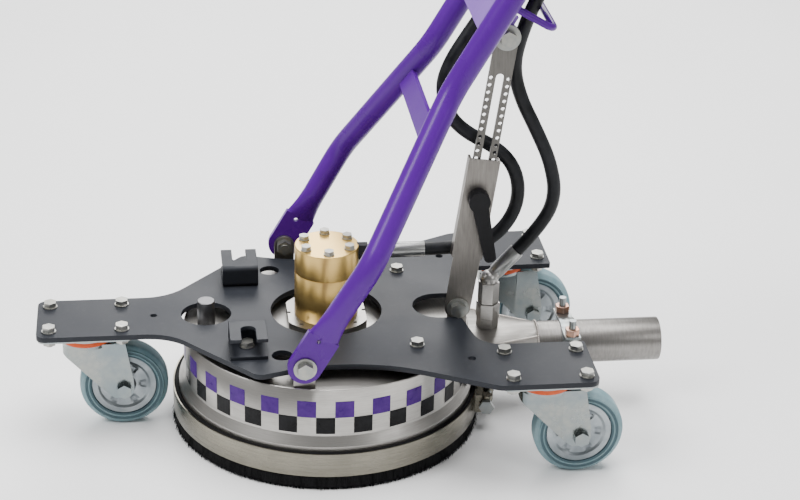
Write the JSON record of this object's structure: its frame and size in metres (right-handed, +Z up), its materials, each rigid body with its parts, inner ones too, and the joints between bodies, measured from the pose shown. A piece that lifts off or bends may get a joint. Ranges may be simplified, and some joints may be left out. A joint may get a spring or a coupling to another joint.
{
  "type": "rotary surface cleaner",
  "caption": "Round pressure-washing floor cleaner: stainless bell with brush skirt, spray rotor, suction outlet, castors and a folding push handle with a strut.",
  "frame": {"origin": "centre of the footprint, on the floor", "axes": "+X to the side, +Y to the rear where the suction outlet points, +Z up"},
  "size_m": [0.522, 0.771, 0.9222],
  "materials": {
    "satin_anthracite": "satin powder coat",
    "brushed_stainless": "brushed",
    "polished_stainless": "polished",
    "bright_zinc": "bright zinc plate",
    "copper_nuts": "copper plated",
    "turned_brass": "turned",
    "purple_gloss": "gloss powder coat",
    "black_rubber": "matt",
    "black_bristle": "matt",
    "black_plastic": "fine grain",
    "grey_rubber_tyre": "matt",
    "orange_plastic": "semi-gloss",
    "bearing_steel": "ground",
    "hose_rubber": "smooth cover"
  },
  "bodies": {
    "frame": {"drum_shell": "brushed_stainless", "brush_backing": "black_rubber", "brush_bristles": "black_bristle", "band_clamp": "polished_stainless", "band_bolt": "bright_zinc", "frame_plate": "satin_anthracite", "plate_spacers": "bright_zinc", "side_brackets": "satin_anthracite", "stop_pin": "bearing_steel", "frame_bolts": "bright_zinc", "swivel_flange": "brushed_stainless", "swivel_body": "turned_brass", "swivel_cap": "turned_brass", "cap_bolts": "bright_zinc", "swivel_bearings": "bearing_steel", "outlet_duct": "brushed_stainless", "outlet_tube": "brushed_stainless", "tube_saddle": "bright_zinc", "tube_u_bolt": "bright_zinc", "tube_nuts": "copper_nuts", "inlet_fitting": "turned_brass", "injector_fitting": "turned_brass", "hose_ferrules": "bright_zinc", "castor_seals": "orange_plastic", "handle_lugs": "brushed_stainless", "strut_lug": "brushed_stainless", "pivot_bolts": "bright_zinc", "inlet_hose": "hose_rubber", "injector_hose": "hose_rubber", "castor_plate_front": "bright_zinc", "castor_plate_right": "bright_zinc", "castor_plate_left": "bright_zinc"},
    "handle": {"handle_tube_right": "purple_gloss", "handle_tube_left": "purple_gloss", "cross_bar": "purple_gloss", "handle_panel": "purple_gloss", "strut_top_bolt": "bright_zinc", "hose_guide": "purple_gloss", "valve_bar": "purple_gloss", "handlebar": "purple_gloss", "grips": "black_rubber", "valve_block": "turned_brass", "valve_ferrules": "bright_zinc"},
    "strut_arm": {"strut_arm": "satin_anthracite", "clamp_nut": "bright_zinc"},
    "strut_slider": {"strut_slider": "bright_zinc"},
    "clamp_lever": {"clamp_lever": "black_plastic"},
    "trigger": {"trigger_lever": "black_plastic"},
    "rotor": {"rotor_shaft": "brushed_stainless", "spray_pipes": "brushed_stainless", "spray_nozzles": "brushed_stainless"},
    "castor_front": {"castor_fork_front": "bright_zinc"},
    "wheel_front": {"wheel_rim_front": "bright_zinc", "tyre_front": "grey_rubber_tyre"},
    "castor_right": {"castor_fork_right": "bright_zinc"},
    "wheel_right": {"wheel_rim_right": "bright_zinc", "tyre_right": "grey_rubber_tyre"},
    "castor_left": {"castor_fork_left": "bright_zinc"},
    "wheel_left": {"wheel_rim_left": "bright_zinc", "tyre_left": "grey_rubber_tyre"}
  },
  "joints": [
    {"name": "handle_fold", "type": "hinge", "parent": "frame", "child": "handle", "pos_m": [0, -0.0985, 0.143], "axis": [1, 0, 0], "range_deg": [-24, 4], "deforming": ["inlet_hose", "injector_hose"]},
    {"name": "strut_swing", "type": "hinge", "parent": "frame", "child": "strut_arm", "pos_m": [0.02, 0.0855, 0.14], "axis": [1, 0, 0], "range_deg": [-29, 5]},
    {"name": "strut_slide", "type": "slide", "parent": "strut_arm", "child": "strut_slider", "axis": [0, 0.1323, 0.9912], "range_m": [-0.0735, 0.0125]},
    {"name": "clamp_lever_turn", "type": "hinge", "parent": "strut_arm", "child": "clamp_lever", "pos_m": [0.028, 0.10349, 0.27481], "axis": [1, 0, 0], "range_deg": [-90, 90]},
    {"name": "trigger_squeeze", "type": "hinge", "parent": "handle", "child": "trigger", "pos_m": [0, 0.33805, 0.85513], "axis": [1, 0, 0], "range_deg": [0, 12], "stiffness_Nm_per_rad": 3, "springref_deg": -8.59},
    {"name": "rotor_spin", "type": "hinge", "parent": "frame", "child": "rotor", "pos_m": [0, -0.0615, 0.15], "axis": [0, 0, 1], "continuous": true},
    {"name": "castor_swivel_front", "type": "hinge", "parent": "frame", "child": "castor_front", "pos_m": [0, -0.3315, 0.106], "axis": [0, 0, 1], "continuous": true},
    {"name": "wheel_spin_front", "type": "hinge", "parent": "castor_front", "child": "wheel_front", "pos_m": [0, -0.2915, 0.05], "axis": [1, 0, 0], "continuous": true},
    {"name": "castor_swivel_right", "type": "hinge", "parent": "frame", "child": "castor_right", "pos_m": [0.147, 0.1635, 0.106], "axis": [0, 0, 1], "continuous": true},
    {"name": "wheel_spin_right", "type": "hinge", "parent": "castor_right", "child": "wheel_right", "pos_m": [0.147, 0.2035, 0.05], "axis": [1, 0, 0], "continuous": true},
    {"name": "castor_swivel_left", "type": "hinge", "parent": "frame", "child": "castor_left", "pos_m": [-0.147, 0.1635, 0.106], "axis": [0, 0, 1], "continuous": true},
    {"name": "wheel_spin_left", "type": "hinge", "parent": "castor_left", "child": "wheel_left", "pos_m": [-0.147, 0.2035, 0.05], "axis": [1, 0, 0], "continuous": true}
  ],
  "couplings": [
    {"joint": "strut_swing", "follows": "handle_fold", "ratio": 1.1975},
    {"joint": "strut_slide", "follows": "handle_fold", "m_per_rad": 0.1728}
  ]
}
